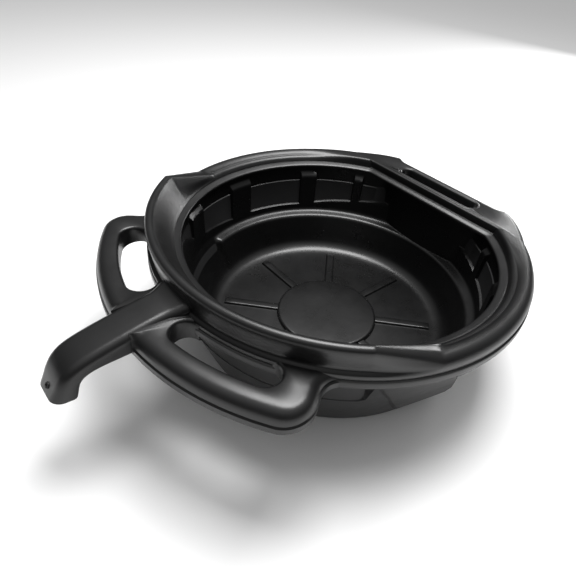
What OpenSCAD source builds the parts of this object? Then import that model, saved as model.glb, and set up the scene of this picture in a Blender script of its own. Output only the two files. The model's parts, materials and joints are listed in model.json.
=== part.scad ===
/* [Basin] */
// Radius of the basin floor where it turns up into the wall
floor_r = 172; // [150:1:190]
// Height of the floor's top face above the ground
floor_z = 9.5; // [8:0.5:14]
// Height at which the floor's rounded edge becomes wall
floor_edge_z = 20.5; // [18:0.5:26]
// Wall thickness of the moulding
wall_t = 3; // [2.5:0.5:4]
// Radius of the basin's underside
base_r = 177; // [174:1:182]
// Radius of the ledge half-way up the wall
ledge_r = 185; // [180:1:190]
// Height of the ledge
ledge_z = 65; // [58:1:72]
// Inner radius of the upper wall at its foot
upper_r = 199; // [197:1:202]
// Height of the upper wall's foot
upper_z = 72; // [68:1:78]
// Distance of the flat rear wall from the basin's axis
rear_wall_x = 185; // [182:1:188]

/* [Floor details] */
// Radius of the raised centre disc
disc_r = 71.5; // [60:0.5:80]
// Height of the centre disc's top above the ground
disc_z = 15.5; // [12:0.5:18]
// Width of a floor rib
rib_w = 12.5; // [8:0.5:16]
// Height of a floor rib above the floor
rib_h = 3; // [2:0.5:5]
// Distance of a rib's outer end from the axis
rib_end_r = 150; // [130:1:156]

/* [Rim] */
// Radius of the round opening
mouth_r = 200.5; // [196:0.5:202]
// Height of the opening's edge
mouth_z = 146.5; // [142:0.5:150]
// Outer radius of the rim
rim_r = 239; // [232:1:246]
// Height of the low rim's top
rim_z = 161; // [157:0.5:166]
// Height of the rim's lower edge
rim_low_z = 132; // [126:1:138]
// Distance of the opening's straight rear edge from the axis
chord_x = 169; // [160:1:176]
// Distance of the rim's straight rear end from the axis
rim_end_x = 177; // [176:1:182]

/* [Splash guard] */
// Inner radius of the raised crest
crest_in_r = 230.5; // [224:0.5:234]
// Outer radius of the raised crest
crest_out_r = 241; // [241:0.5:246]
// Height of the raised crest
crest_z = 184; // [176:1:190]
// Angle from the spout to each end of the raised crest
crest_half_a = 53; // [45:1:60]
// Angle from the spout to the foot of each ramp
ramp_half_a = 74; // [65:1:80]

/* [Handles] */
// Inner radius of a handle's slot
slot_in_r = 239; // [239:1:244]
// Outer radius of a handle's slot
slot_out_r = 272; // [266:1:276]
// Outer radius of a handle
handle_r = 299; // [296:1:308]
// Height of a handle's top face
handle_z = 151; // [146:1:154]
// Height of a handle's underside
handle_low_z = 123; // [118:1:128]

/* [Spout] */
// Outside width of the spout
spout_w = 46; // [40:1:54]
// Distance of the spout's tip from the axis
spout_x = 381; // [376:1:390]
// Height of the tip's open end above the ground
spout_tip_z = 99; // [90:1:106]

/* [Rear grip] */
// Distance of the grip bar's outer face from the axis
grip_x = 226; // [220:1:230]
// Half the length of the grip's slot
grip_slot_half = 66; // [56:1:72]
// Width of the grip's slot
grip_slot_w = 20; // [16:1:24]

/* [Hidden] */
$fn = 180;
plastic = [0.09, 0.09, 0.095];

// Number of straight ribs round the disc, evenly spaced, the first one towards the rear
rib_count = 8;
// Radius of the floor's flat part, where the rounding up to the wall begins
floor_flat_r = floor_r - 12;
// The outer skirt leans out to skirt_r at skirt_z, then rises nearly upright to the rim
skirt_r = 207;
skirt_z = 72;
skirt_top_r = 210.5;
// Angle from the rear at which the rim starts, inside the straight end that the grip joins
rim_start_a = 20;
// Radius of the leaning skirt at a height
function lean_r(z) = base_r + (skirt_r - base_r) * z / skirt_z;
// Beside the handles the skirt goes on leaning out, as a shoulder, up to the rim's underside
shoulder_a = [30, 123.5];
// Underside of the lip, where the wall ends
lip_low_z = 143;
// Foot of the splash guard's upright outer side
rim_foot_z = rim_z - 12;
// Inner radius of the upper wall at its top, behind the lip
wall_top_r = 204.5;
// Angle from the rear to each end of the steeper part of the lower wall
lower_wall_half_a = 113;
// Angles of the pilasters from the rear, their radius and the height of their round tops
pilaster_a = [127, 94.5, 60.5, 37.5, 20];
pilaster_r = 11;
pilaster_top_z = 124;
// Radius of the circle that the pilasters' middles stand on
pilaster_mid_r = upper_r + 4;
// The wall's lengths end at these angles from the rear: mostly at a pilaster
wall_ends = [
  180, 153, pilaster_a[0], lower_wall_half_a, pilaster_a[1], pilaster_a[2], pilaster_a[3], pilaster_a[4]
];
// The thicker foot of the upper wall, and its height from the spout to the rear, one step per length
foot_t = 3;
foot_z = [140, 122, 88, 82, 80, 86, 98];
// Half the length of the mouth's straight rear edge
chord_half = sqrt(mouth_r * mouth_r - chord_x * chord_x);
// Corner where the rim runs into the rear grip, and the end of the grip bar
corner_out = [232, 98];
bar_end = [grip_x, 85];
// Distance of the grip slot's middle from the axis
grip_slot_x = 199;
// Underside of the grip bar
grip_low_z = 136;
// Angles from the rear of a handle's outer corner and of its slot's two ends, and the corner's radius
handle_corner_a = 144;
handle_corner_r = 32;
slot_end_a = 149;
slot_front_a = 169;
handle_bevel = 11;
// Where the spout's arm ends and its nozzle bends down
bend_x = 345;
arm_root_z = 158;
arm_end_z = 141;
arm_low_z = 125;
nose_r = spout_w / 2 + 2;
channel_w = spout_w - 2 * wall_t;
channel_low_z = 128;
channel_high_z = 141;
plug_r = 3.5;
plug_z = 110;
// Slope of a ramp across the line where it leaves the crest
ramp_slope = 19.5;
far = 400;

// The rim's outline at its low height: inner edge, groove, roll, outer side, then back along the underside
rim_low = [
  [mouth_r, lip_low_z], [mouth_r, mouth_z], [mouth_r + 4.5, mouth_z + 2], [mouth_r + 9, mouth_z + 4],
  [mouth_r + 12, rim_z - 6], [mouth_r + 17, rim_z - 2.5], [mouth_r + 25, rim_z], [rim_r - 7, rim_z - 1],
  [rim_r - 3, rim_z - 4], [rim_r, rim_foot_z + 2], [rim_r + 1, rim_foot_z], [rim_r + 1, rim_low_z],
  [skirt_top_r + 4, rim_low_z], [skirt_top_r, rim_low_z + 4], [skirt_top_r, lip_low_z]
];
// The same outline at the height of the splash guard
rim_high = [
  [mouth_r, lip_low_z], [mouth_r, mouth_z], [mouth_r + 4, mouth_z + 4], [mouth_r + 10, mouth_z + 10.5],
  [mouth_r + 18, mouth_z + 20], [mouth_r + 25, crest_z - 9], [crest_in_r, crest_z - 1.5],
  [crest_in_r + 2, crest_z],
  [crest_out_r - 2, crest_z], [crest_out_r, crest_z - 2], [rim_r + 1, rim_foot_z], [rim_r + 1, rim_low_z],
  [skirt_top_r + 4, rim_low_z], [skirt_top_r, rim_low_z + 4], [skirt_top_r, lip_low_z]
];

// Where the basin's wall starts at the floor, from its underside to the top of the rounded edge
wall_start = [
  [base_r - wall_t, 0], [base_r - wall_t, wall_t], [base_r - 2 * wall_t, floor_z - wall_t],
  [floor_flat_r, floor_z - wall_t], [floor_flat_r, floor_z], [floor_r - 3, floor_z + 4],
  [floor_r, floor_edge_z]
];
// The rest of the wall's section: its inner side above the lower wall, then its outer side
wall_end = [
  [upper_r - foot_t, upper_z], [upper_r, upper_z], [wall_top_r, lip_low_z], [skirt_top_r, lip_low_z],
  [skirt_r, skirt_z], [base_r, 0]
];
ledge_section = concat(wall_start, [[ledge_r - 1, ledge_z - 5], [ledge_r, ledge_z]], wall_end);
drain_section = concat(wall_start, wall_end);

// A ring section with the child as its outline, from angle a0 to a1
module ring(a0, a1) {
  rotate([0, 0, a0]) rotate_extrude(angle = a1 - a0) children();
}

// Everything beyond the plane x towards the rear
module behind(x) {
  translate([x, -far, -far]) cube(2 * far);
}

// The child on the left side, or its mirror image on the right side
module on_side(side) {
  if (side == "left") children();
  else mirror([0, 1, 0]) children();
}

// The child's outline, drawn in X and Z, as a slab of width w centred on the spout
module slab(w) {
  translate([0, w / 2, 0]) rotate([90, 0, 0]) linear_extrude(w) children();
}

// The space that oil runs through, from the basin to the tip
module spout_channel() {
  slab(channel_w)
    polygon([
      [-190, channel_low_z], [-190, channel_high_z], [-300, channel_high_z], [-bend_x, arm_end_z - 4],
      [-bend_x - 18, 123], [-spout_x + wall_t + 2, spout_tip_z - 1], [-357, spout_tip_z - 1],
      [-353, 113], [-348, 125], [-bend_x, channel_low_z]
    ]);
}

// Everything inside the outer face of the splash guard
module inside_guard() {
  rotate_extrude()
    polygon([
      [0, 0], [rim_r + 1, 0], [rim_r + 1, rim_foot_z], [crest_out_r, crest_z - 2], [0, crest_z - 2]
    ]);
}

// ---- Basin ----

module base_skin() {
  color(plastic) cylinder(h = wall_t, r = base_r - wall_t);
}

module floor_skin() {
  color(plastic) translate([0, 0, floor_z - wall_t]) cylinder(h = wall_t, r = floor_flat_r);
}

module centre_disc() {
  bevel = 1.5;
  color(plastic) {
    translate([0, 0, floor_z]) cylinder(h = disc_z - floor_z - bevel, r = disc_r);
    translate([0, 0, disc_z - bevel]) cylinder(h = bevel, r1 = disc_r, r2 = disc_r - bevel);
  }
}

module floor_rib(i) {
  color(plastic)
    rotate([0, 0, i * 360 / rib_count])
      difference() {
        translate([0, -rib_w / 2, floor_z]) cube([rib_end_r, rib_w, rib_h]);
        translate([0, 0, floor_z - 1]) cylinder(h = rib_h + 2, r = disc_r);
      }
}

// The outside of the body, from the ground up to the rim
module skirt_shape() {
  polygon([[0, 0], [base_r, 0], [skirt_r, skirt_z], [skirt_top_r, lip_low_z], [0, lip_low_z]]);
}

// One length of the wall, between two pilasters, with the thicker band at its foot
module wall(side, i) {
  a0 = wall_ends[i + 1];
  a1 = wall_ends[i];
  color(plastic)
    on_side(side)
      difference() {
        union() {
          ring(a0, a1) polygon(a1 > lower_wall_half_a ? drain_section : ledge_section);
          difference() {
            ring(a0, a1)
              intersection() {
                translate([upper_r - foot_t, upper_z]) square([3 * foot_t, foot_z[i] - upper_z]);
                polygon([[0, upper_z], [upper_r, upper_z], [wall_top_r, lip_low_z], [0, lip_low_z]]);
              }
            pilasters_solid();
          }
        }
        behind(rear_wall_x);
        spout_channel();
      }
}

// The length of round wall at the rear, cut off where the flat wall stands
module rear_ledge() {
  half_a = wall_ends[len(wall_ends) - 1];
  color(plastic)
    difference() {
      ring(-half_a, half_a) polygon(ledge_section);
      behind(rear_wall_x);
    }
}

// The flat wall at the rear
module rear_wall() {
  color(plastic)
    intersection() {
      translate([rear_wall_x, -far, 0]) cube([wall_t, 2 * far, lip_low_z]);
      rotate_extrude() skirt_shape();
    }
}

// One pilaster as a plain column with a round top
module pilaster_column(i) {
  rotate([0, 0, pilaster_a[i]])
    translate([pilaster_mid_r, 0, upper_z]) {
      cylinder(h = pilaster_top_z - upper_z, r = pilaster_r);
      translate([0, 0, pilaster_top_z - upper_z]) sphere(r = pilaster_r);
    }
}

// All the pilasters of the left side
module pilasters_solid() {
  for (i = [0 : len(pilaster_a) - 1]) pilaster_column(i);
}

// The part of a pilaster that stands in front of the upper wall
module pilaster(side, i) {
  top_h = pilaster_top_z - upper_z;
  wall_top = upper_r + (wall_top_r - upper_r) * (top_h + pilaster_r) / (lip_low_z - upper_z);
  color(plastic)
    on_side(side)
      difference() {
        intersection() {
          pilaster_column(i);
          translate([0, 0, upper_z]) cylinder(h = top_h + pilaster_r, r1 = upper_r, r2 = wall_top);
        }
        behind(rear_wall_x);
      }
}

// ---- Rim ----

module rim(side) {
  color(plastic)
    on_side(side)
      difference() {
        ring(rim_start_a, 180 - ramp_half_a) polygon(rim_low);
        behind(rim_end_x);
      }
}

module splash_guard() {
  color(plastic)
    difference() {
      ring(180 - crest_half_a, 180 + crest_half_a) polygon(rim_high);
      spout_channel();
    }
}

// The splash guard's end, cut off by a plane that slopes down to the low rim
module ramp(side) {
  a0 = 180 - ramp_half_a;
  a1 = 180 - crest_half_a;
  color(plastic)
    on_side(side)
      union() {
        ring(a0, a1) polygon(rim_low);
        difference() {
          ring(a0, a1) polygon(rim_high);
          rotate([0, 0, a1])
            translate([0, 0, crest_z]) rotate([ramp_slope, 0, 0]) translate([0, -far, 0]) cube(far);
        }
      }
}

// The grip's outline seen from above, to one side of the middle
module grip_plan() {
  for (m = [0, 1])
    mirror([0, m])
      polygon([
        [rim_end_x, -1], [rim_end_x, 161], [204, 137.5], [221.5, 119.5], [230, 105], corner_out, bar_end,
        [grip_x, -1]
      ]);
}

module grip_slot() {
  round_r = grip_slot_w / 2;
  translate([grip_slot_x, 0])
    union() {
      square([grip_slot_w, 2 * (grip_slot_half - round_r)], center = true);
      for (s = [-1, 1]) translate([0, s * (grip_slot_half - round_r)]) circle(r = round_r);
    }
}

module rear_grip() {
  color(plastic) {
    translate([0, 0, lip_low_z])
      linear_extrude(rim_z - lip_low_z)
        difference() {
          grip_plan();
          grip_slot();
        }
    // The bar hangs lower than the plate
    translate([grip_slot_x + grip_slot_w / 2, -bar_end[1], grip_low_z])
      cube([grip_x - grip_slot_x - grip_slot_w / 2, 2 * bar_end[1], lip_low_z - grip_low_z]);
    // The lip along the mouth's straight edge
    intersection() {
      slab(2 * chord_half)
        polygon([
          [chord_x, lip_low_z], [rim_end_x, lip_low_z], [rim_end_x, mouth_z + 4], [chord_x, mouth_z]
        ]);
      cylinder(h = far, r = mouth_r);
    }
  }
}

// A small block hanging under the rim, against the shoulder
module rim_lug(side) {
  lug_a = [95, 102];
  low_z = rim_low_z - 9;
  color(plastic)
    on_side(side)
      ring(lug_a[0], lug_a[1])
        polygon([
          [lean_r(low_z), low_z], [rim_r - 3, low_z], [rim_r, rim_low_z], [lean_r(rim_low_z), rim_low_z]
        ]);
}

// ---- Skirt details ----

// The skirt's shoulder, over the upright part of the body's outside
module shoulder_shape() {
  inner_r = skirt_r + (skirt_top_r - skirt_r) * (rim_low_z - skirt_z) / (lip_low_z - skirt_z);
  polygon([[skirt_r, skirt_z], [lean_r(rim_low_z), rim_low_z], [inner_r, rim_low_z]]);
}

module skirt_shoulder(side) {
  color(plastic) on_side(side) ring(shoulder_a[0], shoulder_a[1]) shoulder_shape();
}

// The fuller part of the skirt, standing off its leaning side
module skirt_corner(side) {
  corner_a = [86, 112];
  low_z = 12;
  top_z = 118;
  color(plastic)
    on_side(side)
      ring(corner_a[0], corner_a[1])
        polygon([
          [lean_r(low_z), low_z], [base_r + 22, low_z + 20], [skirt_r + 4, skirt_z], [lean_r(top_z), top_z]
        ]);
}

// ---- Handles ----

// The gap between a handle and the rim, seen from above, with a round end at the rear and at the front
module handle_slot_plan() {
  round_r = (slot_out_r - slot_in_r) / 2;
  middle_a = (slot_end_a + slot_front_a) / 2;
  intersection() {
    difference() {
      circle(r = slot_out_r);
      circle(r = slot_in_r);
    }
    polygon([
      [0, 0], far * [cos(slot_end_a), sin(slot_end_a)], far * [cos(middle_a), sin(middle_a)],
      far * [cos(slot_front_a), sin(slot_front_a)]
    ]);
  }
  for (a = [slot_end_a, slot_front_a])
    rotate(a) translate([slot_in_r + round_r, 0]) circle(r = round_r);
}

// A handle seen from above: a band round the slot, with a rounded outer corner
module handle_plan(inset) {
  difference() {
    union() {
      intersection() {
        circle(r = handle_r - inset);
        rotate(handle_corner_a) square(far);
      }
      rotate(handle_corner_a)
        translate([handle_r - handle_corner_r, 0]) circle(r = handle_corner_r - inset);
      rotate(handle_corner_a)
        translate([200, inset - handle_corner_r])
          square([handle_r - handle_corner_r - 200, handle_corner_r]);
    }
    circle(r = 200);
  }
}

module handle(side) {
  color(plastic)
    on_side(side)
      difference() {
        // Three layers: the middle one full, the outer two drawn in by the bevel
        union() {
          translate([0, 0, handle_low_z])
            linear_extrude(handle_z - handle_low_z) handle_plan(handle_bevel / 2);
          translate([0, 0, handle_low_z + handle_bevel / 2])
            linear_extrude(handle_z - handle_low_z - handle_bevel) handle_plan(0);
        }
        translate([0, 0, handle_low_z - 1])
          linear_extrude(handle_z - handle_low_z + 2) handle_slot_plan();
        inside_guard();
        translate([-far, -2 * far + spout_w / 2, 0]) cube([2 * far, 2 * far, far]);
      }
}

// ---- Spout ----

module spout_arm() {
  color(plastic)
    difference() {
      slab(spout_w)
        polygon([[-230, arm_low_z], [-230, arm_root_z], [-bend_x, arm_end_z], [-bend_x, arm_low_z]]);
      inside_guard();
      spout_channel();
    }
}

module spout_nozzle() {
  color(plastic)
    difference() {
      intersection() {
        slab(spout_w)
          polygon([
            [-bend_x, arm_low_z], [-bend_x, arm_end_z], [-358, 137], [-367, 128], [-spout_x + 4, 108],
            [-spout_x, spout_tip_z], [-354, spout_tip_z], [-350, 112]
          ]);
        // Rounds the tip's front, seen from above
        translate([-spout_x + nose_r, 0, 0])
          linear_extrude(far)
            union() {
              circle(r = nose_r);
              translate([0, -spout_w / 2]) square([100, spout_w]);
            }
      }
      spout_channel();
      plug_hole();
    }
}

module plug_hole() {
  translate([-spout_x - 5, 0, plug_z]) rotate([0, 90, 0]) cylinder(h = 20, r = plug_r);
}

module spout_plug() {
  color(plastic)
    translate([-spout_x + 4.5, 0, plug_z]) rotate([0, 90, 0]) cylinder(h = 3, r = plug_r);
}

base_skin();
floor_skin();
centre_disc();
floor_rib(0);  // floor_rib_1
floor_rib(1);  // floor_rib_2
floor_rib(2);  // floor_rib_3
floor_rib(3);  // floor_rib_4
floor_rib(4);  // floor_rib_5
floor_rib(5);  // floor_rib_6
floor_rib(6);  // floor_rib_7
floor_rib(7);  // floor_rib_8
wall("left", 0);  // wall_left_1
wall("left", 1);  // wall_left_2
wall("left", 2);  // wall_left_3
wall("left", 3);  // wall_left_4
wall("left", 4);  // wall_left_5
wall("left", 5);  // wall_left_6
wall("left", 6);  // wall_left_7
wall("right", 0);  // wall_right_1
wall("right", 1);  // wall_right_2
wall("right", 2);  // wall_right_3
wall("right", 3);  // wall_right_4
wall("right", 4);  // wall_right_5
wall("right", 5);  // wall_right_6
wall("right", 6);  // wall_right_7
rear_ledge();
rear_wall();
pilaster("left", 0);  // pilaster_left_1
pilaster("left", 1);  // pilaster_left_2
pilaster("left", 2);  // pilaster_left_3
pilaster("left", 3);  // pilaster_left_4
pilaster("left", 4);  // pilaster_left_5
pilaster("right", 0);  // pilaster_right_1
pilaster("right", 1);  // pilaster_right_2
pilaster("right", 2);  // pilaster_right_3
pilaster("right", 3);  // pilaster_right_4
pilaster("right", 4);  // pilaster_right_5
rim("left");  // rim_left
rim("right");  // rim_right
splash_guard();
ramp("left");  // ramp_left
ramp("right");  // ramp_right
rear_grip();
handle("left");  // handle_left
handle("right");  // handle_right
spout_arm();
spout_nozzle();
spout_plug();
skirt_shoulder("left");  // skirt_shoulder_left
skirt_shoulder("right");  // skirt_shoulder_right
skirt_corner("left");  // skirt_corner_left
skirt_corner("right");  // skirt_corner_right
rim_lug("left");  // rim_lug_left
rim_lug("right");  // rim_lug_right
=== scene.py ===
"""The oil drain pan's looks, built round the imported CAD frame."""

import json
import math

import bpy
import bmesh
import numpy as np
from mathutils import Matrix, Vector


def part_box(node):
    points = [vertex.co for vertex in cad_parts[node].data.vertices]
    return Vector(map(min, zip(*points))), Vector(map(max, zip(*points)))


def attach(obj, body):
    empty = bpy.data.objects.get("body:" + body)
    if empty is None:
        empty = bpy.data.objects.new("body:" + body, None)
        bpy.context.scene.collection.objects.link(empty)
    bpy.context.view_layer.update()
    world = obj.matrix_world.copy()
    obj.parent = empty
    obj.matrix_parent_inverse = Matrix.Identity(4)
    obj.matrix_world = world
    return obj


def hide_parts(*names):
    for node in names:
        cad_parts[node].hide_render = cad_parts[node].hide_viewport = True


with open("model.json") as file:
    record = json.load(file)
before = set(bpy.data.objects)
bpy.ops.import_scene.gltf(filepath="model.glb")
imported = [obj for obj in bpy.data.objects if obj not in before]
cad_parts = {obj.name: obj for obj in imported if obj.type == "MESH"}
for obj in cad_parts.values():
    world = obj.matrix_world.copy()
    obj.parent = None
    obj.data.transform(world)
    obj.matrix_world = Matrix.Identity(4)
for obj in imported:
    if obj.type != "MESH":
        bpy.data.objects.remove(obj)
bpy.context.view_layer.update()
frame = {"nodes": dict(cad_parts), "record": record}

MM = 0.001
BODY = "root"
SIDES = (("left", 1), ("right", -1))


# ---- Sizes, in millimetres, read from the CAD frame ----

def box_mm(node):
    """A node's lowest and highest corners at rest."""
    low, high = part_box(node)
    return np.array(low) / MM, np.array(high) / MM


DISC_LOW, DISC_HIGH = box_mm("centre_disc")
RIB_LOW, RIB_HIGH = box_mm("floor_rib_1")
PLUG_LOW, PLUG_HIGH = box_mm("spout_plug")
RIM_HIGH = box_mm("rim_left")[1]
GRIP_LOW = box_mm("rear_grip")[0]

FLOOR_Z = DISC_LOW[2]
DISC_R = DISC_HIGH[0]
DISC_Z = DISC_HIGH[2]
RIB_END = RIB_HIGH[0]
RIB_W = RIB_HIGH[1] - RIB_LOW[1]
RIB_Z = RIB_HIGH[2]
RIM_R = RIM_HIGH[1] - 1.0
RIM_Z = RIM_HIGH[2]
CHORD_X = GRIP_LOW[0]
GRIP_FOOT_Z = GRIP_LOW[2]
HANDLE_Z = box_mm("handle_left")[1][2]

# Places that no node's box gives: the mouth's edge, the rim's straight edge and the flat rear wall
MOUTH_R = 200.5
BEAD_X = 177.0
REAR_X = 185.0


# ---- Curves and meshes ----

def spline(points, steps, closed=False):
    """A smooth curve through the points, with this many steps for each span."""
    p = np.array(points, float)
    n = len(p)
    out = []
    for i in range(n if closed else n - 1):
        p1, p2 = p[i], p[(i + 1) % n]
        p0 = p[i - 1] if closed or i > 0 else 2 * p1 - p2
        p3 = p[(i + 2) % n] if closed or i + 2 < n else 2 * p2 - p1
        t0 = 0.0
        t1 = t0 + max(np.linalg.norm(p1 - p0), 1e-6) ** 0.5
        t2 = t1 + max(np.linalg.norm(p2 - p1), 1e-6) ** 0.5
        t3 = t2 + max(np.linalg.norm(p3 - p2), 1e-6) ** 0.5
        for s in range(steps):
            t = t1 + (t2 - t1) * s / steps
            a1 = (t1 - t) / (t1 - t0) * p0 + (t - t0) / (t1 - t0) * p1
            a2 = (t2 - t) / (t2 - t1) * p1 + (t - t1) / (t2 - t1) * p2
            a3 = (t3 - t) / (t3 - t2) * p2 + (t - t2) / (t3 - t2) * p3
            b1 = (t2 - t) / (t2 - t0) * a1 + (t - t0) / (t2 - t0) * a2
            b2 = (t3 - t) / (t3 - t1) * a2 + (t - t1) / (t3 - t1) * a3
            out.append((t2 - t) / (t2 - t1) * b1 + (t - t1) / (t2 - t1) * b2)
    if not closed:
        out.append(p[-1])
    return np.array(out)


def resample(points, n):
    """n points spaced evenly along an open polyline."""
    p = np.array(points, float)
    d = np.concatenate([[0], np.cumsum(np.linalg.norm(np.diff(p, axis=0), axis=1))])
    t = np.linspace(0, d[-1], n)
    return np.stack([np.interp(t, d, p[:, k]) for k in range(p.shape[1])], 1)


def smoothstep(x, a, b):
    """0 below a, 1 above b and a smooth rise between them."""
    t = np.clip((np.asarray(x, float) - a) / (b - a), 0, 1)
    return t * t * (3 - 2 * t)


def build(name, verts, faces, nodes, material, sharp=30):
    """A finished piece from vertices in millimetres."""
    mesh = bpy.data.meshes.new(name)
    mesh.from_pydata((np.asarray(verts, float) * MM).tolist(), [], [list(f) for f in faces])
    bm = bmesh.new()
    bm.from_mesh(mesh)
    bmesh.ops.remove_doubles(bm, verts=bm.verts, dist=1e-6)
    bmesh.ops.dissolve_degenerate(bm, dist=1e-6, edges=bm.edges)
    bmesh.ops.recalc_face_normals(bm, faces=bm.faces)
    bm.to_mesh(mesh)
    bm.free()
    mesh.polygons.foreach_set("use_smooth", [True] * len(mesh.polygons))
    mesh.set_sharp_from_angle(angle=math.radians(sharp))
    piece = bpy.data.objects.new(name, mesh)
    bpy.context.scene.collection.objects.link(piece)
    mesh.materials.append(material)
    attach(piece, BODY)
    if nodes:
        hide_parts(*nodes)
    return piece


def loft_faces(n_rings, n_points, closed):
    """Faces between rings of points; an open loft gets a cap at each end."""
    faces = []
    for k in range(n_rings if closed else n_rings - 1):
        a, b = k * n_points, ((k + 1) % n_rings) * n_points
        for j in range(n_points):
            m = (j + 1) % n_points
            faces.append((a + j, a + m, b + m, b + j))
    if not closed:
        faces.append(tuple(range(n_points - 1, -1, -1)))
        faces.append(tuple((n_rings - 1) * n_points + j for j in range(n_points)))
    return faces


def loft(name, rings, closed, nodes, material, sharp=30):
    """A piece skinned over rings that all have the same number of points."""
    rings = np.asarray(rings, float)
    faces = loft_faces(len(rings), rings.shape[1], closed)
    return build(name, rings.reshape(-1, 3), faces, nodes, material, sharp)


def polar(r, degrees):
    """x and y of points at a radius and an azimuth."""
    a = np.radians(degrees)
    return np.stack([r * np.cos(a), r * np.sin(a)], -1)


# ---- Material: satin black polyethylene ----

def plastic(name, tone, rough, grain, wear):
    """Dark plastic: its tone, its roughness, the depth of its grain and how far wear changes its gloss."""
    mat = bpy.data.materials.new(name)
    mat.use_nodes = True
    tree = mat.node_tree
    tree.nodes.clear()

    def add(kind, **values):
        node = tree.nodes.new(kind)
        for key, value in values.items():
            node.inputs[key].default_value = value
        return node

    link = tree.links.new
    out = add("ShaderNodeOutputMaterial")
    shader = add("ShaderNodeBsdfPrincipled")
    shader.inputs["IOR"].default_value = 1.5
    link(shader.outputs["BSDF"], out.inputs["Surface"])
    place = add("ShaderNodeTexCoord")

    # Cloudy change of tone over the moulding
    cloud = add("ShaderNodeTexNoise", Scale=9.0, Detail=4.0, Roughness=0.55)
    link(place.outputs["Object"], cloud.inputs["Vector"])
    ramp = tree.nodes.new("ShaderNodeValToRGB")
    low, high = tone * 0.78, tone * 1.3
    ramp.color_ramp.elements[0].position = 0.3
    ramp.color_ramp.elements[0].color = (low, low, low * 1.02, 1)
    ramp.color_ramp.elements[1].position = 0.72
    ramp.color_ramp.elements[1].color = (high, high, high * 1.03, 1)
    link(cloud.outputs["Fac"], ramp.inputs["Fac"])
    link(ramp.outputs["Color"], shader.inputs["Base Color"])

    # Handling marks change the gloss a little
    marks = add("ShaderNodeTexNoise", Scale=38.0, Detail=6.0, Roughness=0.62)
    link(place.outputs["Object"], marks.inputs["Vector"])
    gloss = add("ShaderNodeMapRange")
    gloss.inputs["From Min"].default_value = 0.25
    gloss.inputs["From Max"].default_value = 0.75
    gloss.inputs["To Min"].default_value = rough - wear
    gloss.inputs["To Max"].default_value = rough + wear
    link(marks.outputs["Fac"], gloss.inputs["Value"])
    link(gloss.outputs["Result"], shader.inputs["Roughness"])

    # Fine moulded grain over a faint unevenness of the wall
    fine = add("ShaderNodeTexNoise", Scale=1500.0, Detail=2.0, Roughness=0.5)
    uneven = add("ShaderNodeTexNoise", Scale=22.0, Detail=2.0, Roughness=0.4)
    link(place.outputs["Object"], fine.inputs["Vector"])
    link(place.outputs["Object"], uneven.inputs["Vector"])
    wavy = add("ShaderNodeBump", Strength=0.35, Distance=0.0006)
    link(uneven.outputs["Fac"], wavy.inputs["Height"])
    bump = add("ShaderNodeBump", Strength=grain, Distance=0.00012)
    link(fine.outputs["Fac"], bump.inputs["Height"])
    link(wavy.outputs["Normal"], bump.inputs["Normal"])
    link(bump.outputs["Normal"], shader.inputs["Normal"])
    return mat


# Painted shade: the basin's tone is half the rim's, to darken the inside of the bowl; it is the same plastic
# as the rim
SHADED_BASIN_PLASTIC = plastic("basin_plastic_painted_shade", 0.003, 0.29, 0.2, 0.04)
# Painted light: the underbody's tone is over twice the rim's, to lighten the skirt's outer side; it is the
# same plastic as the rim
LIT_UNDERBODY_PLASTIC = plastic("underbody_plastic_painted_light", 0.014, 0.36, 0.3, 0.05)
RIM = plastic("rim_plastic", 0.006, 0.33, 0.3, 0.05)
PLUG = plastic("plug_plastic", 0.006, 0.5, 0.3, 0.04)


# ---- The bowl: floor, lower wall, drain ramp, upper wall with its panels and pilasters ----

LOWER_WALL = [
    (150, 9.5), (156, 10.1), (161.5, 12), (166, 15), (169.6, 18.6), (172, 22.6), (174, 29), (177, 42),
    (180, 54), (181.6, 60), (182.9, 63), (185.2, 65), (188.6, 66.3), (192, 67.6), (194.8, 69.4), (196.2, 72),
]
DRAIN_RAMP = [
    (150, 9.5), (156, 10.1), (161.5, 12), (166, 15), (169.8, 18.4), (173, 22.4), (176, 27.4), (181, 38),
    (185.4, 48), (188, 54), (189.6, 58), (190.8, 61), (192.2, 64.2), (193.8, 67.4), (195.2, 70), (196.2, 72),
]
RAMP_HALF = 113.0
RAMP_BLEND = 1.6
STEP_Z = 72.0
BOWL_TOP = 144.6
BAND_LIMIT = 144.0
# The upper wall's face and its sunk panels: radius at the step, and lean outwards per millimetre of height
FRONT_R, FRONT_LEAN = 196.2, 0.035
BACK_R, BACK_LEAN = 200.0, 0.066
BAND_EDGE = 1.3
BAND_ROWS = 1.6
# Each pilaster's azimuth and half width, in degrees
PILASTERS = [(124.5, 5.5), (94.3, 5.7), (60.0, 4.0), (36.8, 2.3)]
PILASTER_TOP = (127.5, 134.5)
REAR_FACE_TOP = (138, 142)
# The height of the foot band's top, by azimuth from the rear
PANEL_AZ = [19.5, 28.6, 39, 47, 55, 64, 100, 109, 118, 130, 141, 152, 160, 180]
PANEL_Z = [103, 97, 90, 87, 83, 80, 80, 83, 87, 101, 126, 139, 143, 143]
PANEL_START = 20.6
REAR_CORNER_AZ = 19.3
COLUMN_STEP = 1.25
EDGE_SPAN = 1.3
EDGE_STEP = 0.2
BOWL_SKIN = 2.0


def column_angles():
    """Azimuths all round, closer together at the upright edges."""
    angles = list(np.arange(0, 180, COLUMN_STEP)) + [180.0]
    edges = [PANEL_START, RAMP_HALF, REAR_CORNER_AZ]
    for centre, half in PILASTERS:
        edges += [centre - half, centre + half]
    for e in edges:
        angles += list(np.arange(e - EDGE_SPAN, e + EDGE_SPAN + 0.01, EDGE_STEP))
    angles = sorted(set(round(a, 3) for a in angles if 0 <= a <= 180))
    both = angles + [360 - a for a in reversed(angles) if 0 < a < 180]
    return np.array(both)


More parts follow.
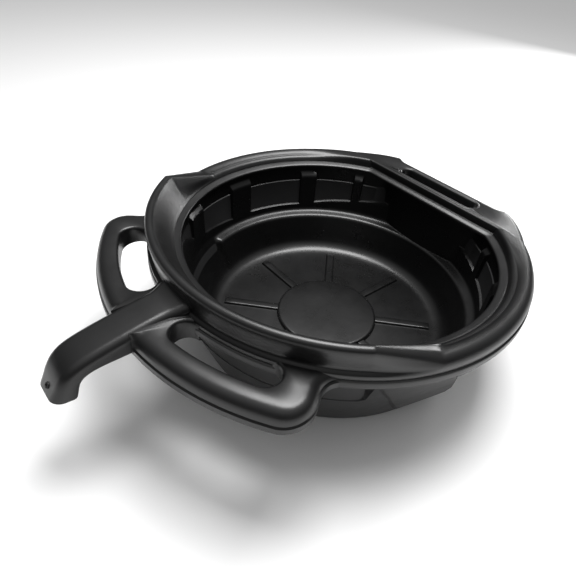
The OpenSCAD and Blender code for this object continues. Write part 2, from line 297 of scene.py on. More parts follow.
def bowl_rows(azimuth):
    """The inner surface's radius and height up one column, from the floor to the lip."""
    a = azimuth if azimuth <= 180 else 360 - azimuth
    steep = 1 - float(smoothstep(a, RAMP_HALF - RAMP_BLEND, RAMP_HALF + RAMP_BLEND))
    low = spline(LOWER_WALL, 3) * steep + spline(DRAIN_RAMP, 3) * (1 - steep)
    rows = [(r, FLOOR_Z) for r in (12.0, 60.0, 110.0, 140.0)] + [tuple(q) for q in low]
    band_top = float(np.interp(a, PANEL_AZ, PANEL_Z))
    heights = list(np.linspace(STEP_Z, band_top - BAND_ROWS, 7))[1:]
    heights += list(np.linspace(band_top - BAND_ROWS, band_top + BAND_ROWS, 6))[1:]
    # Beside the spout the band reaches past BAND_LIMIT, and the rows fold back over it by up to 0.6 mm
    heights += list(np.linspace(min(band_top + BAND_ROWS, BAND_LIMIT), BOWL_TOP, 22))[1:]
    z = np.array(heights)
    front = FRONT_R + (z - STEP_Z) * FRONT_LEAN
    back = BACK_R + (z - STEP_Z) * BACK_LEAN
    column = 0.0
    for centre, half in PILASTERS:
        side = 1 - smoothstep(abs(a - centre), half - 0.55, half + 0.15)
        column = max(column, float(side))
    pilaster = column * (1 - smoothstep(z, *PILASTER_TOP))
    band = 1 - smoothstep(z, band_top - BAND_EDGE, band_top + BAND_EDGE)
    rear = 1 - smoothstep(a, PANEL_START - 0.5, PANEL_START + 0.3)
    mask = np.maximum(np.maximum(pilaster, band), rear * (1 - smoothstep(z, *REAR_FACE_TOP)))
    r = back + (front - back) * mask
    rows = np.array(rows + list(zip(r, z)))
    if a < 60:
        # The flat rear wall cuts the round one off, with a small radius in the corner
        flat = REAR_X / math.cos(math.radians(a))
        k = 0.6
        h = np.clip(0.5 + 0.5 * (flat - rows[:, 0]) / k, 0, 1)
        blended = flat * (1 - h) + rows[:, 0] * h - k * h * (1 - h)
        rows[:, 0] = np.where(rows[:, 1] > 50, blended, rows[:, 0])
    return rows


def make_bowl():
    """The inner surface all round, with an outer skin offset from it."""
    rings = []
    for az in column_angles():
        rows = bowl_rows(az)
        back = rows[::-1].copy()
        grad = np.gradient(back, axis=0)
        length = np.maximum(np.linalg.norm(grad, axis=1, keepdims=True), 1e-9)
        normal = np.stack([grad[:, 1], -grad[:, 0]], 1) / length
        outer = back - normal * BOWL_SKIN
        outer[:, 0] = np.maximum(outer[:, 0], 8.0)
        loop = np.concatenate([rows, outer])
        rings.append(np.column_stack([polar(loop[:, 0], az), loop[:, 1]]))
    nodes = ["floor_skin", "rear_wall", "rear_ledge"]
    nodes += [f"wall_{side}_{i}" for side in ("left", "right") for i in range(1, 8)]
    nodes += [f"pilaster_{side}_{i}" for side in ("left", "right") for i in range(1, 6)]
    return loft("bowl", rings, True, nodes, SHADED_BASIN_PLASTIC, 32)


def make_disc():
    """The raised disc, with a bevel and a fine groove round its foot."""
    profile = [
        (0.5, DISC_Z), (30, DISC_Z), (DISC_R - 4, DISC_Z), (DISC_R - 2.2, DISC_Z - 0.15),
        (DISC_R - 0.9, DISC_Z - 0.8), (DISC_R - 0.3, DISC_Z - 2), (DISC_R, FLOOR_Z + 0.8),
        (DISC_R + 0.5, FLOOR_Z + 0.15), (DISC_R + 1.2, FLOOR_Z - 0.6), (DISC_R - 1, FLOOR_Z - 1.2),
        (0.5, FLOOR_Z - 1.2),
    ]
    rings = []
    for az in np.arange(0, 360, 2.0):
        p = np.array(profile)
        rings.append(np.column_stack([polar(p[:, 0], az), p[:, 1]]))
    return loft("floor_disc", rings, True, ["centre_disc"], SHADED_BASIN_PLASTIC, 40)


def make_rib(i):
    """One straight rib, its edges rounded and its inner end tucked under the disc."""
    half, top, low = RIB_W / 2, RIB_Z, FLOOR_Z - 0.8
    rings = []
    for x, drop in [(DISC_R - 6, 0), (DISC_R + 10, 0), (110, 0), (RIB_END - 12, 0), (RIB_END - 2, 0),
                    (RIB_END - 0.8, 0.5), (RIB_END - 0.2, 1.3), (RIB_END, 2.6)]:
        t = top - drop
        h = half - 0.35 * drop
        section = [
            (-h - 0.6, low), (-h - 0.3, FLOOR_Z + 0.3), (-h, FLOOR_Z + 1), (-h + 0.35, t - 0.8),
            (-h + 1.2, t - 0.12), (-h + 2.2, t), (0, t + 0.05), (h - 2.2, t), (h - 1.2, t - 0.12),
            (h - 0.35, t - 0.8), (h, FLOOR_Z + 1), (h + 0.3, FLOOR_Z + 0.3), (h + 0.6, low),
        ]
        rings.append([(x, y, z) for y, z in section])
    rings = np.array(rings)
    a = math.radians(45 * i)
    turn = np.array([[math.cos(a), math.sin(a), 0], [-math.sin(a), math.cos(a), 0], [0, 0, 1]])
    return loft(f"rib_{i + 1}", rings @ turn, False, [f"floor_rib_{i + 1}"], SHADED_BASIN_PLASTIC, 50)


# ---- The mouth's lip and the rim ----

LIP_SECTION = [
    (0.0, 143.4), (-0.3, 145.2), (0.2, 146.4), (1.6, 147.3), (3.8, 148.1), (6.2, 148.9), (7.6, 149.3),
    (8.5, 149.4), (9.3, 149.3), (10.2, 149.8), (11.6, 150.6), (12.5, 149.5), (12, 146), (8, 143.2),
]
CHORD_SCALE = 0.72


def make_lip():
    """The bead round the mouth: an arc, closed by a straight length along the grip."""
    section = spline(LIP_SECTION, 2, closed=True)
    r = MOUTH_R + section[:, 0]
    x = CHORD_X + section[:, 0] * CHORD_SCALE
    corner = np.degrees(np.arccos(x / r))
    rings = []
    for s in np.linspace(0, 1, 241):
        angle = corner + (360 - 2 * corner) * s
        rings.append(np.column_stack([polar(r, angle), section[:, 1]]))
    half = r * np.sin(np.radians(corner))
    for s in np.linspace(0, 1, 33)[1:-1]:
        rings.append(np.column_stack([x, -half + 2 * half * s, section[:, 1]]))
    return loft("mouth_lip", rings, True, [], RIM, 28)


# The rim's outline in radius and height. All four start and end at the lip and have the same number of points
RIM_FOOT = [(238.6, 132.1), (226, 133.5), (214, 136), (210.5, 139), (209.6, 144)]
RIM_SIDE = [
    (238.9, 149), (238.8, 146.5), (238.5, 143.5), (238.3, 141.7), (240, 140.8), (240.3, 137), (240, 133),
] + RIM_FOOT
LOW_RIM = [
    (209.8, 149.2), (211.2, 152.0), (213.0, 154.4), (215.8, 156.0), (218.4, 156.8), (219.4, 157.7),
    (222.6, 159.8), (227, 161), (231.2, 160.5), (234.6, 158.6), (236.9, 156), (238.3, 153.2), (238.8, 151),
] + RIM_SIDE
REAR_RIM = [
    (209.8, 149.2), (210.4, 152.6), (211, 156.4), (211.9, 159.2), (213.4, 160.6), (215.4, 160.95),
    (220, 161), (226, 161), (231.5, 160.9), (235, 159.8), (237.2, 157.6), (238.4, 154.6), (238.8, 151.6),
] + RIM_SIDE
HIGH_RIM = [
    (208, 149.2), (210, 151.8), (213.4, 156.6), (217.6, 163), (222.4, 170.8), (226.8, 178), (229.8, 182.2),
    (232.2, 183.8), (235.4, 184), (238.4, 182.6), (240.2, 179), (238.9, 168), (236.4, 154.4),
    (238.6, 151.8), (240.2, 149.6), (239.6, 144.5), (238.6, 141.9), (240.2, 140.9), (240.6, 137),
    (240.2, 133),
] + RIM_FOOT
# The low rim where a ramp's flat face ends on it
RAMP_END = [
    (209.8, 149.2), (210.6, 151.2), (211.6, 153), (213, 154.6), (214.2, 155.8), (215, 156.6), (215.8, 157.2),
    (221, 159.6), (227, 161.4), (232.4, 160.6), (236.4, 157), (238.2, 153.2), (238.8, 151),
] + RIM_SIDE
CREST_HALF = 53.0
RAMP_INNER = 73.8
RAMP_OUTER = 70.4
REAR_BLEND_AZ = 62.0
RIM_STEPS = 3


def rim_side_rings(side):
    """Rings from the spout's line round one side to the rear, from 0 to the flat end at the grip."""
    high = spline(HIGH_RIM, RIM_STEPS, closed=True)
    low = spline(LOW_RIM, RIM_STEPS, closed=True)
    rear = spline(REAR_RIM, RIM_STEPS, closed=True)
    end = spline(RAMP_END, RIM_STEPS, closed=True)
    index = np.arange(len(high)) / RIM_STEPS
    straight = smoothstep(index, 1, 4) * (1 - smoothstep(index, 10, 12))
    foot = RAMP_INNER + (RAMP_OUTER - RAMP_INNER) * smoothstep(index, 5, 9)
    foot = np.where(index > 12, RAMP_OUTER, foot)

    def place(r, z, b):
        angle = 180 - np.asarray(b, float) * side
        return np.column_stack([polar(r, angle), z])

    rings = []
    for b in list(np.arange(0, CREST_HALF - 0.6, 1.5)) + [CREST_HALF - 0.5]:
        rings.append(place(high[:, 0], high[:, 1], np.full(len(high), b)))
    start = place(high[:, 0], high[:, 1], np.full(len(high), CREST_HALF))
    stop = place(end[:, 0], end[:, 1], foot)
    for s in [0, 0.02] + list(np.linspace(0, 1, 18)[1:]):
        line = start * (1 - s) + stop * s
        r = high[:, 0] * (1 - s) + end[:, 0] * s
        z = high[:, 1] * (1 - s) + end[:, 1] * s
        b = CREST_HALF * (1 - s) + foot * s
        arc = place(r, z, b)
        rings.append(line * straight[:, None] + arc * (1 - straight[:, None]))
    for extra in (0.25, 0.9):
        t = extra / 0.9
        r = end[:, 0] * (1 - t) + low[:, 0] * t
        z = end[:, 1] * (1 - t) + low[:, 1] * t
        rings.append(place(r, z, foot + extra))
    last = 180 - REAR_BLEND_AZ
    for s in np.linspace(0, 1, 28)[1:]:
        b = (foot + 0.9) * (1 - s) + last * s
        rings.append(place(low[:, 0], low[:, 1], b))
    for s in np.linspace(0, 1, 18)[1:]:
        t = float(smoothstep(s, 0, 0.9))
        r = low[:, 0] * (1 - t) + rear[:, 0] * t
        z = low[:, 1] * (1 - t) + rear[:, 1] * t
        stop_b = 180 - np.degrees(np.arccos(np.clip(BEAD_X / r, -1, 1)))
        b = last * (1 - s) + stop_b * s
        rings.append(place(r, z, b))
    return rings


def make_rim():
    """The low rim, both ramps and the splash guard in one sweep, open at the grip."""
    left = rim_side_rings(1)
    right = rim_side_rings(-1)
    rings = right[::-1] + left[1:]
    nodes = ["rim_left", "rim_right", "splash_guard", "ramp_left", "ramp_right"]
    return loft("rim", rings, False, nodes, RIM, 34)


# ---- The rear grip: a plate with a slot ----

BAR_X = 226.0
BAR_END_Y = 80.0
JOINT_Y = 112.5
CORNER_Y = 161.0
GRIP_OUTLINE = [
    (BEAD_X, CORNER_Y), (190, 151), (204, 138.2), (215, 126.5), (224, 114.5), (229.6, 105), (231.6, 99.4),
    (231, 94.6), (228, 89.8), (226.3, 85), (BAR_X, BAR_END_Y),
]
SLOT_X = 199.0
SLOT_HALF = 66.0
SLOT_R = 10.0


def grip_side():
    """The matched outline and slot edge for the half with positive y, from the mouth's side to the bar.

    kind is 0 along the mouth, 1 along the joint with the rim and 2 along the outer edge.
    """
    outer, slot, kind = [], [], []
    straight = SLOT_HALF - SLOT_R
    for y in np.linspace(0, straight, 6)[:-1]:
        outer.append((BEAD_X, y))
        slot.append((SLOT_X - SLOT_R, y))
        kind.append(0)
    side = [(BEAD_X, y) for y in np.linspace(straight, JOINT_Y, 10)]
    joint = [(BEAD_X, y) for y in np.linspace(JOINT_Y, CORNER_Y, 8)[1:]]
    edge = [tuple(q) for q in resample(spline(GRIP_OUTLINE, 4), 34)[1:]]
    bar = [(BAR_X, y) for y in np.linspace(BAR_END_Y, straight, 5)[1:]]
    ring = side + joint + edge + bar
    marks = [0] * len(side) + [1] * len(joint) + [2] * (len(edge) + len(bar))
    angle = np.linspace(180, 0, len(ring))
    for (x, y), mark, a in zip(ring, marks, angle):
        turn = math.radians(a)
        outer.append((x, y))
        slot.append((SLOT_X + SLOT_R * math.cos(turn), straight + SLOT_R * math.sin(turn)))
        kind.append(mark)
    for y in np.linspace(straight, 0, 6)[1:]:
        outer.append((BAR_X, y))
        slot.append((SLOT_X + SLOT_R, y))
        kind.append(2)
    return np.array(outer), np.array(slot), np.array(kind)


def outward(points):
    """Unit normals of a closed outline, on its right-hand side."""
    d = np.roll(points, -1, axis=0) - np.roll(points, 1, axis=0)
    d /= np.maximum(np.linalg.norm(d, axis=1, keepdims=True), 1e-9)
    return np.stack([-d[:, 1], d[:, 0]], 1)


def make_grip():
    """The plate between its outline and its slot, rounded by a different edge along each stretch."""
    outer, slot, kind = grip_side()
    outer = np.concatenate([outer, outer[::-1][1:-1] * [1, -1]])
    slot = np.concatenate([slot, slot[::-1][1:-1] * [1, -1]])
    kind = np.concatenate([kind, kind[::-1][1:-1]])
    normal_o = outward(outer)
    normal_s = outward(slot)
    # Keep the rounding square to the mouth's straight edge and to the flat joint
    normal_o[kind < 2] = (-1, 0)
    top, low = RIM_Z, GRIP_FOOT_Z
    slot_edge = [
        (0.4, low + 0.5), (0, low + 2), (0, top - 3.2), (0.5, top - 1.5), (1.5, top - 0.4), (2.8, top),
        (4, top - 0.25), (5, top - 0.75), (6, top - 0.3),
    ]
    mouth_edge = [
        (3.6, top - 0.1), (2.4, top), (1.2, top - 0.35), (0.4, top - 1.2), (0, top - 2.6), (-0.1, 154),
        (-0.2, 149), (0.4, 146), (1.5, 144), (3, 143.2), (5, 143),
    ]
    joint_edge = [
        (3.6, top), (2.4, top), (1.2, top), (0.5, top), (0, top), (0, 154), (0, 149), (0, 144), (0, 138),
        (0.2, 134), (0.5, 133),
    ]
    roll_edge = [
        (10, top - 0.05), (7.6, top - 0.4), (4.6, top - 1.7), (2.2, top - 4.2), (1.2, top - 8), (1.1, 146),
        (1.4, 141.8), (0.1, 140.8), (0, 136.6), (0.3, 132.8), (1.8, 132.1),
    ]
    edges = {0: mouth_edge, 1: joint_edge, 2: roll_edge}
    roll_d = [0, 1.2, 2.2, 4.6, 7.6, 10]
    roll_z = [top - 10, top - 8, top - 4.2, top - 1.7, top - 0.4, top]
    rings = []
    for o, s, no, ns, k in zip(outer, slot, normal_o, normal_s, kind):
        inner = [(s[0] + ns[0] * d, s[1] + ns[1] * d, z) for d, z in slot_edge]
        edge = [(o[0] - no[0] * d, o[1] - no[1] * d, z) for d, z in edges[int(k)]]
        if k == 1:
            # The joint's top follows the rim's roll
            caps = [float(np.interp(RIM_R + 0.4 - math.hypot(x, y), roll_d, roll_z)) for x, y, z in edge]
            edge = [(x, y, min(z, cap)) for (x, y, z), cap in zip(edge, caps)]
        rings.append(inner + edge)
    return loft("grip", rings, True, ["rear_grip"], RIM, 34)


# ---- The two hand loops ----

CORNER_AZ = 144.0
CORNER_R = 32.0
HANDLE_R = 299.0
SLOT_IN_R = 239.5
SLOT_OUT_R = 272.0
SLOT_END_AZ = 149.0
SLOT_FRONT_AZ = 169.2
ROUND_END = 176.0
SPOUT_IN_Y = 18.0
FILLET_R = 22.0
RIM_SIDE_R = 240.0
RIM_FOOT_Z = 132.1
LOOP_FOOT_Z = 125.0


def handle_outlines():
    """The loop's outer edge and its slot's edge, matched point by point, from the rim round to the spout."""
    u = polar(1.0, CORNER_AZ)
    n = np.array([u[1], -u[0]])
    s_c = math.sqrt((RIM_SIDE_R + FILLET_R) ** 2 - (CORNER_R + FILLET_R) ** 2)
    centre = s_c * u + (CORNER_R + FILLET_R) * n
    centre_az = math.degrees(math.atan2(centre[1], centre[0]))
    outer = [polar(239.4, a) for a in np.linspace(centre_az - 6, centre_az, 6)[:-1]]
    a0 = math.degrees(math.atan2(-centre[1], -centre[0]))
    a1 = math.degrees(math.atan2(-n[1], -n[0]))
    turn = (a1 - a0 + 180) % 360 - 180
    outer += [centre + polar(FILLET_R, a0 + turn * t) for t in np.linspace(0, 1, 12)]
    hub = (HANDLE_R - CORNER_R) * u
    n_az = math.degrees(math.atan2(n[1], n[0]))
    outer += [hub + polar(CORNER_R, n_az + 90 * t) for t in np.linspace(0, 1, 20)]
    part_a = len(outer)
    slot_r = (SLOT_OUT_R - SLOT_IN_R) / 2
    mid_r = SLOT_IN_R + slot_r
    rear_hub, front_hub = polar(mid_r, SLOT_END_AZ), polar(mid_r, SLOT_FRONT_AZ)
    begin = [polar(r, SLOT_END_AZ - 0.3) for r in np.linspace(226, 238.4, 8)]
    bend = [rear_hub + polar(slot_r, SLOT_END_AZ - ROUND_END + ROUND_END * t) for t in np.linspace(0, 1, 30)]
    inner = resample(np.array(begin + bend), part_a)
    inner = [tuple(q) for q in inner]
    arc = np.linspace(SLOT_END_AZ, SLOT_FRONT_AZ, 26)[1:]
    inner += [polar(SLOT_OUT_R, a) for a in arc]
    inner += [front_hub + polar(slot_r, SLOT_FRONT_AZ + ROUND_END * t) for t in np.linspace(0, 1, 29)[1:]]
    inner += [polar(r, SLOT_FRONT_AZ + 0.3) for r in (238, 234, 230)]
    # The outer edge runs on into the spout's side, then along inside it, back to the rim
    spout_az = 180 - math.degrees(math.asin(SPOUT_IN_Y / HANDLE_R))
    outer += [polar(HANDLE_R, a) for a in np.linspace(CORNER_AZ, SLOT_FRONT_AZ, len(arc) + 1)[1:]]
    outer += [polar(HANDLE_R, a) for a in np.linspace(SLOT_FRONT_AZ, spout_az, 15)[1:]]
    left = len(inner) - len(outer)
    outer += [(x, SPOUT_IN_Y) for x in np.linspace(-HANDLE_R + 1, -218, left + 1)[1:]]
    return np.array(outer), np.array(inner), part_a


def open_normals(points):
    """Unit normals along an open outline."""
    d = np.gradient(points, axis=0)
    d /= np.maximum(np.linalg.norm(d, axis=1, keepdims=True), 1e-9)
    return np.stack([d[:, 1], -d[:, 0]], 1)


def make_handle(side, sign):
    """One hand loop, lofted along its length; sign is 1 for the left and -1 for the right."""
    outer, inner, part_a = handle_outlines()
    n_out = open_normals(outer)
    n_in = open_normals(inner)
    # The normals point away from the slot, and fade out where the slot's edge runs inside the rim's wall
    across = outer - inner
    n_out *= np.sign(np.sum(n_out * across, axis=1, keepdims=True))
    middle = slice(part_a + 4, part_a + 16)
    n_in = n_in * np.sign(np.sum(n_in[middle] * across[middle], axis=1).mean())
    n_in = n_in * smoothstep(np.linalg.norm(inner, axis=1), 237, 240.5)[:, None]
    n_out = n_out * (0.12 + 0.88 * smoothstep(outer[:, 1], SPOUT_IN_Y + 1, SPOUT_IN_Y + 10))[:, None]
    top = HANDLE_Z
    rings = []
    for k, (o, i) in enumerate(zip(outer, inner)):
        t = float(smoothstep(k, 6, part_a))
        low = RIM_FOOT_Z * (1 - t) + LOOP_FOOT_Z * t
        lip = low + 8.6
        slot_edge = [
            (1.5, low), (0.3, low + 1), (0, low + 3), (0, top - 4.2), (0.5, top - 2.2), (1.6, top - 0.8),
            (3.4, top - 0.05),
        ]
        roll = [
            (14.5, top - 0.05), (11.5, top - 0.5), (8, top - 1.8), (5, top - 4.2), (2.9, top - 7.4),
            (1.8, top - 11), (1.6, lip + 1.2), (0.7, lip + 0.1), (0, lip - 0.8), (0, low + 1.2), (1.2, low),
        ]
        ring = [(i[0] + n_in[k][0] * d, i[1] + n_in[k][1] * d, z) for d, z in slot_edge]
        ring += [(o[0] - n_out[k][0] * d, o[1] - n_out[k][1] * d, z) for d, z in roll]
        rings.append([(x, y * sign, z) for x, y, z in ring])
    return loft(f"hand_loop_{side}", rings, False, [f"handle_{side}"], RIM, 34)


# ---- The spout ----

# The spout's top and bottom lines, in x and z
SPOUT_TOP = [
    (-226, 159.5), (-240, 158), (-262, 155.6), (-285, 152.2), (-310, 147.8), (-330, 143.8), (-344, 140.2),
    (-355, 135.4), (-363.5, 128.6), (-369.5, 120.4), (-374.6, 110.5), (-379.4, 101.6),
]
SPOUT_BOTTOM = [
    (-226, 125), (-240, 125), (-262, 125), (-285, 125), (-310, 125), (-328, 124.6), (-338, 123.2),
    (-344.6, 120.4), (-348.4, 116.4), (-350.6, 111.4), (-352.4, 105.6), (-354.2, 99.6),
]
SPOUT_HALF = 23.0
SPOUT_TAPER = 0.8
ROOT_X = 236
ROOT_FLARE = 5.0
ROOT_LIFT = 2.5
SPOUT_WALL = 2.8
BORE_HALF = 22.2 - SPOUT_WALL
BORE_ROWS = 11
PLUG_LEAN = 27


def rounded_section(top, bottom, half, r_top, r_bottom):
    """A rounded oblong between a top and a bottom point, as a ring of points across the spout."""
    top, bottom = np.array(top, float), np.array(bottom, float)
    axis = top - bottom
    height = np.linalg.norm(axis)
    axis /= height
    points = []
    corners = ((1, 1, r_top, 0), (-1, 1, r_top, 90), (-1, -1, r_bottom, 180), (1, -1, r_bottom, 270))
    for sy, sz, corner_r, start in corners:
        r = min(corner_r, height * 0.49, half * 0.99)
        for t in np.linspace(0, 1, 8):
            a = math.radians(start + 90 * t)
            y = sy * (half - r) + r * math.cos(a)
            h = (height if sz > 0 else 0) - sz * r + r * math.sin(a)
            p = bottom + axis * h
            points.append((p[0], y, p[1]))
    return points


def make_spout():
    """The arm and the nozzle, hollow for a short way up from the tip."""
    tops = spline(SPOUT_TOP, 3)
    bottoms = spline(SPOUT_BOTTOM, 3)
    last = len(tops) - 1
    rings = []
    for k in range(last + 1):
        t = k / last
        x = tops[k][0]
        flare = ROOT_FLARE * (1 - float(smoothstep(-x, ROOT_X, 258)))
        lift = ROOT_LIFT * (1 - float(smoothstep(-x, ROOT_X, 252)))
        nose = float(smoothstep(t, 0.55, 0.85))
        half = SPOUT_HALF + flare - SPOUT_TAPER * t
        rings.append(rounded_section(tops[k] + [0, lift], bottoms[k], half, 9 + 10 * nose, 4 + 2 * nose))
    for k in range(last, last - BORE_ROWS, -1):
        a = tops[k] - bottoms[k]
        a /= np.linalg.norm(a)
        rings.append(rounded_section(tops[k] - a * SPOUT_WALL, bottoms[k] + a * SPOUT_WALL, BORE_HALF, 15, 4))
    return loft("spout", rings, False, ["spout_arm", "spout_nozzle"], RIM, 34)


def make_plug():
    """A small plug sunk in the tip's front face, with a raised rim and a dimple."""
    middle = (PLUG_LOW + PLUG_HIGH) / 2
    radius = (PLUG_HIGH[1] - PLUG_LOW[1]) / 2
    profile = [
        (0.2, -0.9), (radius * 0.45, -0.9), (radius * 0.62, -0.2), (radius * 0.7, 0.9), (radius * 0.85, 1.3),
        (radius, 0.9), (radius * 1.05, 0), (radius, -3), (0.2, -3),
    ]
    lean = math.radians(PLUG_LEAN)
    front = Vector((-math.cos(lean), 0, math.sin(lean)))
    # Where the rounded front face is at the plug's height
    face = np.array(SPOUT_TOP[:-4:-1])
    face_x = np.interp(middle[2], face[:, 1], face[:, 0])
    turn = Vector((0, 0, 1)).rotation_difference(front).to_matrix()
    rings = []
    for degrees in np.arange(0, 360, 15.0):
        a = math.radians(degrees)
        ring = []
        for r, h in profile:
            c = turn @ Vector((r * math.cos(a), r * math.sin(a), h))
            ring.append((face_x + c.x, c.y, middle[2] + c.z))
        rings.append(ring)
    return loft("plug", rings, True, ["spout_plug"], PLUG, 40)


# ---- The body below the rim ----

SKIRT_FOOT_R = 177.0
SKIRT_LEAN = 30.0 / 72.0
SKIRT_WALL = 3.0
# The inset panel: its side edge's azimuth, its foot, the radius of its corner, its face and that face's lean
INSET_AZ = 123.5
INSET_Z = 72.0
INSET_CORNER = 8.0
INSET_R, INSET_LEAN = 205.6, 0.06
MM_PER_DEGREE = 3.6
FACET_AZ = 105.0
# The flat corner's distance from the axis, and its two ends' azimuths, by height
FACET_Z = (0, 5, 12, 20, 32, 52, 72, 110, 132)
FACET_D = (176.4, 179.4, 183.5, 188, 194.3, 203, 211, 227, 236)
FACET_LEFT = (102.8, 103.8, 105.4, 107, 109.2, 112.8, 115.8, 121.6, 124)
FACET_RIGHT = (102.8, 100, 97, 93, 87.2, 88.8, 92, 98, 100)


def skirt_radius(a, z):
    """The leaning skirt, with the upright panel set into it and its flat corner."""
    lean = SKIRT_FOOT_R + z * SKIRT_LEAN
    edge = (a - INSET_AZ) * MM_PER_DEGREE
    foot = INSET_Z + max(0.0, INSET_CORNER - max(edge, 0.0)) ** 2 / (2 * INSET_CORNER)
    inset = float(smoothstep(a, INSET_AZ - 0.3, INSET_AZ) * smoothstep(z, foot - 0.2, foot + 1.3))
    panel = min(lean, INSET_R + (z - INSET_Z) * INSET_LEAN)
    r = lean * (1 - inset) + panel * inset
    flat = float(np.interp(z, FACET_Z, FACET_D))
    if a < FACET_AZ:
        flat /= math.cos(math.radians(a - FACET_AZ))
    left = float(np.interp(z, FACET_Z, FACET_LEFT))
    right = float(np.interp(z, FACET_Z, FACET_RIGHT))
    use = (1 - smoothstep(a, left - 1.0, left)) * smoothstep(a, right, right + 0.9)
    return r + max(0.0, flat - r) * float(use)


def make_underbody():
    """The skirt, its inner side and the underside, more closely spaced round the facet and the panel."""
    angles = list(np.arange(0, 180.01, COLUMN_STEP)) + list(np.arange(85, 127, 0.3))
    angles = sorted(set(round(a, 3) for a in angles))
    angles = angles + [360 - a for a in reversed(angles) if 0 < a < 180]
    foot = [(170, 0.4), (173.4, 0), (175.6, 0.6), (177.2, 2.0)]
    heights = list(np.linspace(4, 66, 16)) + list(np.arange(67, 80, 0.5)) + list(np.linspace(80, 137, 18))
    top = heights[-1]
    rings = []
    for az in angles:
        a = az if az <= 180 else 360 - az
        # The flat rear cuts straight across
        reach = math.cos(math.radians(a)) if a < 60 else 0.0
        outer_flat = (REAR_X + 2 * SKIRT_WALL) / reach if reach else 1e3
        inner_flat = (REAR_X + SKIRT_WALL) / reach if reach else 1e3
        loop = [(8.0, 0.4), (60.0, 0.4), (120.0, 0.4)] + foot
        loop += [(min(skirt_radius(a, z), outer_flat), z) for z in heights]
        upper = min(202.0, inner_flat)
        loop += [(loop[-1][0] - SKIRT_WALL, top), (upper, 120.0), (min(199.0, upper), 75.0)]
        loop += [(min(190.0, upper), 60.0), (176.0, 22.0), (168.0, 4.0), (120.0, 3.2), (8.0, 3.2)]
        loop = np.array(loop)
        rings.append(np.column_stack([polar(loop[:, 0], az), loop[:, 1]]))
    nodes = ["base_skin"]
    nodes += [f"skirt_{kind}_{side}" for kind in ("shoulder", "corner") for side in ("left", "right")]
    return loft("underbody", rings, True, nodes, LIT_UNDERBODY_PLASTIC, 30)


def make_lug(side, sign):
    """The small block under the rim; its ends are drawn in to round them."""
    rings = []
    for az, grow in ((94.6, 0.7), (95, 0.25), (95.6, 0), (98.5, 0), (101.4, 0), (102, 0.25), (102.4, 0.7)):
        section = [
            (222 + grow, 134), (225 + grow, 124.5 + grow), (227, 123.2 + grow), (234, 123 + grow),
            (236.5 - grow, 124 + grow), (239 - grow, 132), (238 - grow, 134),
        ]
        a = math.radians(az)
        rings.append([(r * math.cos(a), sign * r * math.sin(a), z) for r, z in section])
    return loft(f"lug_{side}", rings, False, [f"rim_lug_{side}"], LIT_UNDERBODY_PLASTIC, 45)


make_bowl()
make_disc()
for rib_index in range(8):
    make_rib(rib_index)
make_lip()
make_rim()
make_grip()
for side_name, side_sign in SIDES:
    make_handle(side_name, side_sign)
make_spout()
make_plug()
make_underbody()
for side_name, side_sign in SIDES:
    make_lug(side_name, side_sign)

# Every CAD node gets the moulded plastic too, shown or not
slot_material = {"basin": SHADED_BASIN_PLASTIC, "underbody": LIT_UNDERBODY_PLASTIC, "rim_and_handles": RIM, "plug": PLUG}
node_slots = {entry["node"]: entry["material_slot"] for entry in frame["record"]["subparts"]}
for name, obj in frame["nodes"].items():
    material = slot_material.get(node_slots.get(name, "rim_and_handles"), RIM)
    if len(obj.material_slots) == 0:
        obj.data.materials.append(material)
    for material_slot in obj.material_slots:
        material_slot.material = material


# ---- Studio ----

FLOOR_HALF = 6.0
# The dome's brightness by height, from the horizon up
DOME_LEVELS = ((0.3, 0.16), (0.62, 0.42), (0.86, 1.0))
DOME_LOWEST = 0.05
DOME_STRENGTH = 0.75
SENSOR_WIDTH = 36
LENS = 31.37
CAMERA_PLACE = (-0.4144, -0.3644, 0.4983)
CAMERA_RIGHT = Vector((0.77603, -0.62598, 0.07715))
CAMERA_UP = Vector((0.35179, 0.53111, 0.77083))
CAMERA_BACK = Vector((-0.52350, -0.57104, 0.63236))


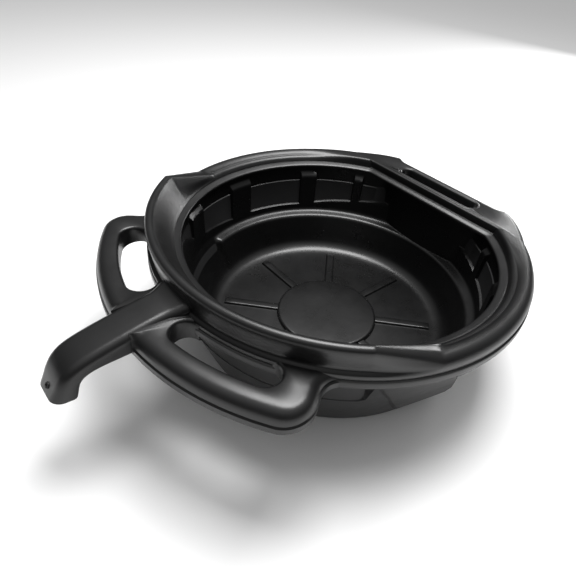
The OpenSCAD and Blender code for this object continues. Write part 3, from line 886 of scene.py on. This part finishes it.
def pale_floor():
    """A wide matt floor, a shade uneven in tone."""
    mesh = bpy.data.meshes.new("studio_floor")
    corners = [(x * FLOOR_HALF, y * FLOOR_HALF, 0) for x, y in ((-1, -1), (1, -1), (1, 1), (-1, 1))]
    mesh.from_pydata(corners, [], [(0, 1, 2, 3)])
    obj = bpy.data.objects.new("studio_floor", mesh)
    bpy.context.scene.collection.objects.link(obj)
    mat = bpy.data.materials.new("pale_floor")
    mat.use_nodes = True
    tree = mat.node_tree
    shader = tree.nodes["Principled BSDF"]
    shader.inputs["Roughness"].default_value = 0.9
    noise = tree.nodes.new("ShaderNodeTexNoise")
    noise.inputs["Scale"].default_value = 3.0
    ramp = tree.nodes.new("ShaderNodeValToRGB")
    ramp.color_ramp.elements[0].color = (0.88, 0.88, 0.88, 1)
    ramp.color_ramp.elements[1].color = (0.92, 0.92, 0.92, 1)
    tree.links.new(noise.outputs["Fac"], ramp.inputs["Fac"])
    tree.links.new(ramp.outputs["Color"], shader.inputs["Base Color"])
    mesh.materials.append(mat)


def studio_dome():
    """A soft dome for a world, dark near the horizon and bright overhead."""
    world = bpy.data.worlds.new("studio")
    bpy.context.scene.world = world
    world.use_nodes = True
    tree = world.node_tree
    background = tree.nodes["Background"]
    background.inputs["Strength"].default_value = DOME_STRENGTH
    where = tree.nodes.new("ShaderNodeTexCoord")
    split = tree.nodes.new("ShaderNodeSeparateXYZ")
    dome = tree.nodes.new("ShaderNodeValToRGB")
    for position, level in DOME_LEVELS:
        element = dome.color_ramp.elements.new(position)
        element.color = (level, level, level, 1)
    dome.color_ramp.elements[0].color = (DOME_LOWEST, DOME_LOWEST, DOME_LOWEST, 1)
    tree.links.new(where.outputs["Generated"], split.inputs["Vector"])
    tree.links.new(split.outputs["Z"], dome.inputs["Fac"])
    tree.links.new(dome.outputs["Color"], background.inputs["Color"])


def area_light(name, place, target, size, power):
    """A rectangular soft light, turned to face its target."""
    data = bpy.data.lights.new(name, "AREA")
    data.shape = "RECTANGLE"
    data.size, data.size_y = size
    data.energy = power
    obj = bpy.data.objects.new(name, data)
    obj.location = place
    obj.rotation_euler = (Vector(target) - Vector(place)).to_track_quat("-Z", "Y").to_euler()
    bpy.context.scene.collection.objects.link(obj)


def add_camera():
    """The camera at the photograph's viewing angle."""
    data = bpy.data.cameras.new("camera")
    data.sensor_width = SENSOR_WIDTH
    data.lens = LENS
    camera = bpy.data.objects.new("camera", data)
    bpy.context.scene.collection.objects.link(camera)
    turn = Matrix((CAMERA_RIGHT, CAMERA_UP, CAMERA_BACK)).transposed().to_4x4()
    camera.matrix_world = Matrix.Translation(CAMERA_PLACE) @ turn
    bpy.context.scene.camera = camera


pale_floor()
studio_dome()
area_light("key_overhead", (0.25, 0.15, 1.6), (0, 0, 0.1), (0.9, 0.9), 36)
area_light("back_strip", (2.0, 0.45, 0.55), (0, 0, 0.15), (0.35, 0.6), 7)
add_camera()
bpy.context.scene.view_settings.view_transform = "Standard"
